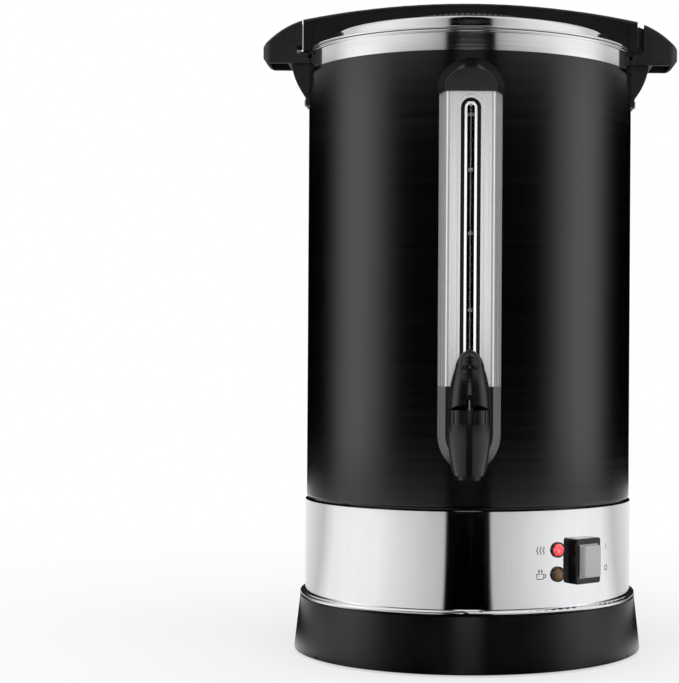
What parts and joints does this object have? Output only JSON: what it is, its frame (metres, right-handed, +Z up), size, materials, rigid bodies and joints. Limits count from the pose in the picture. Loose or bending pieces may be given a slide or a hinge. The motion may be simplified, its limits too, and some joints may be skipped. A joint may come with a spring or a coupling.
{
  "type": "coffee urn",
  "caption": "Tall cylindrical coffee urn with a black body, steel lid with an arched bar, side handles, front sight gauge, lever tap, rocker switch and lamps on a polished band",
  "frame": {"origin": "on the surface the urn stands on, on the body's vertical axis", "axes": "+Z up, -Y towards the tap and gauge, +X towards the right handle"},
  "size_m": [0.338, 0.3276, 0.5267],
  "materials": {
    "moulded_black": "satin moulded",
    "shell_black": "satin, fine level brushing under the paint",
    "polished_steel": "polished stainless",
    "brushed_steel": "bright brushed stainless",
    "plain_steel": "plain",
    "black_rubber": "matte",
    "silicone": "satin",
    "clear_glass": "clear",
    "clear_cover": "clear flexible",
    "red_lens": "translucent, lit",
    "amber_lens": "translucent",
    "aluminium": "cast",
    "brass": "plain",
    "wire_cover": "heat-resistant sleeve"
  },
  "bodies": {
    "urn": {"base_skirt": "moulded_black", "left_handle": "moulded_black", "right_handle": "moulded_black", "gauge_cap": "moulded_black", "tap_housing": "moulded_black", "gauge_bezel": "moulded_black", "tap_body": "moulded_black", "tap_bonnet": "moulded_black", "switch_housing": "moulded_black", "heating_lamp_body": "moulded_black", "warming_lamp_body": "moulded_black", "power_inlet": "moulded_black", "terminal_block": "moulded_black", "outer_shell": "shell_black", "control_band": "polished_steel", "trim_ring": "polished_steel", "window_trim": "polished_steel", "rim_collar": "brushed_steel", "tank": "brushed_steel", "tank_floor": "brushed_steel", "gauge_cover": "brushed_steel", "pump_tube": "brushed_steel", "pump_bell": "brushed_steel", "coffee_basket": "brushed_steel", "basket_cover": "brushed_steel", "base_plate": "plain_steel", "base_screws": "plain_steel", "handle_screws": "plain_steel", "lug_screws": "plain_steel", "gauge_screws": "plain_steel", "tap_shank": "plain_steel", "tap_nut": "plain_steel", "tap_spring": "plain_steel", "heating_element": "plain_steel", "warming_band": "plain_steel", "thermostat": "plain_steel", "thermal_fuse": "plain_steel", "tie_rods": "plain_steel", "tie_nuts": "plain_steel", "rubber_feet": "black_rubber", "tube_seals": "silicone", "tap_seals": "silicone", "sight_tube": "clear_glass", "splash_cover": "clear_cover", "heating_lamp_lens": "red_lens", "warming_lamp_lens": "amber_lens", "heater_plate": "aluminium", "inlet_pins": "brass", "switch_terminals": "brass", "wiring": "wire_cover"},
    "lid_seal": {"lid_gasket": "silicone"},
    "lid": {"lid_cover": "brushed_steel", "lid_bar": "moulded_black", "lid_bar_screws": "plain_steel"},
    "tap_valve": {"tap_stem": "plain_steel", "seat_cup": "black_rubber", "lever_pin": "plain_steel"},
    "lever": {"tap_lever": "moulded_black"},
    "rocker": {"switch_rocker": "moulded_black"}
  },
  "joints": [
    {"name": "lid_lift", "type": "slide", "parent": "urn", "child": "lid_seal", "axis": [0, 0, 1], "range_m": [0, 0.06]},
    {"name": "lid_twist", "type": "hinge", "parent": "lid_seal", "child": "lid", "pos_m": [0, 0, 0.49], "axis": [0, 0, 1], "range_deg": [0, 12]},
    {"name": "tap_stem_lift", "type": "slide", "parent": "urn", "child": "tap_valve", "axis": [0, 0, 1], "range_m": [0, 0.00272], "deforming": ["tap_spring"]},
    {"name": "tap_lever", "type": "hinge", "parent": "tap_valve", "child": "lever", "pos_m": [0, -0.17, 0.2037], "axis": [1, 0, 0], "range_deg": [0, 26], "stiffness_Nm_per_rad": 0.3},
    {"name": "power_rocker", "type": "hinge", "parent": "urn", "child": "rocker", "pos_m": [0.08919, -0.10333, 0.0832], "axis": [0.757, 0.6534, 0], "range_deg": [0, 20]}
  ],
  "couplings": [
    {"joint": "tap_stem_lift", "follows": "tap_lever", "m_per_rad": 0.006}
  ]
}
